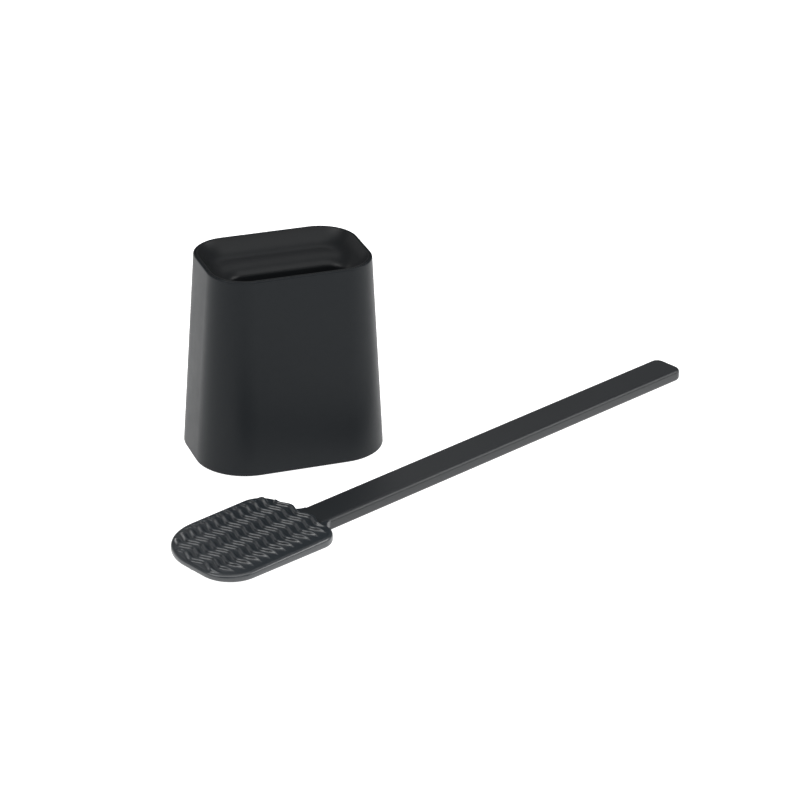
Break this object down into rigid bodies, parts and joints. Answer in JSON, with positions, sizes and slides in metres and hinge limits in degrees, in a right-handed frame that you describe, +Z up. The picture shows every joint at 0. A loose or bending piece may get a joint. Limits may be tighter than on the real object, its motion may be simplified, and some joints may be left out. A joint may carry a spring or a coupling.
{
  "type": "toilet brush holder",
  "caption": "Tapered free-standing toilet brush holder with a lift-out liner, and its flat paddle brush with wavy wiping ribs lying on the floor in front.",
  "frame": {"origin": "on the floor, under the middle of the holder, at the centre of the non-slip ring's underside", "axes": "+Z up out of the holder's mouth, +X along the holder's long side, -Y towards the slot side, where the brush lies"},
  "size_m": [0.3762, 0.2114, 0.125],
  "materials": {
    "casing_plastic": "charcoal, fine satin moulding",
    "liner_plastic": "dark charcoal, satin",
    "handle_plastic": "charcoal, satin",
    "head_rubber": "blue-black soft rubber, slightly glossy",
    "ring_rubber": "black, matt"
  },
  "bodies": {
    "holder": {"casing": "casing_plastic", "base_plate": "casing_plastic", "non_slip_ring": "ring_rubber"},
    "liner": {"lift_out_liner": "liner_plastic"},
    "brush": {"brush_handle": "handle_plastic", "brush_head": "head_rubber"}
  },
  "joints": [
    {"name": "liner_lift", "type": "slide", "parent": "holder", "child": "liner", "axis": [0, 0, 1], "range_m": [0, 0.13]},
    {"name": "brush_lift", "type": "slide", "parent": "holder", "child": "brush", "axis": [0, 0, 1], "range_m": [0, 0.15]}
  ]
}
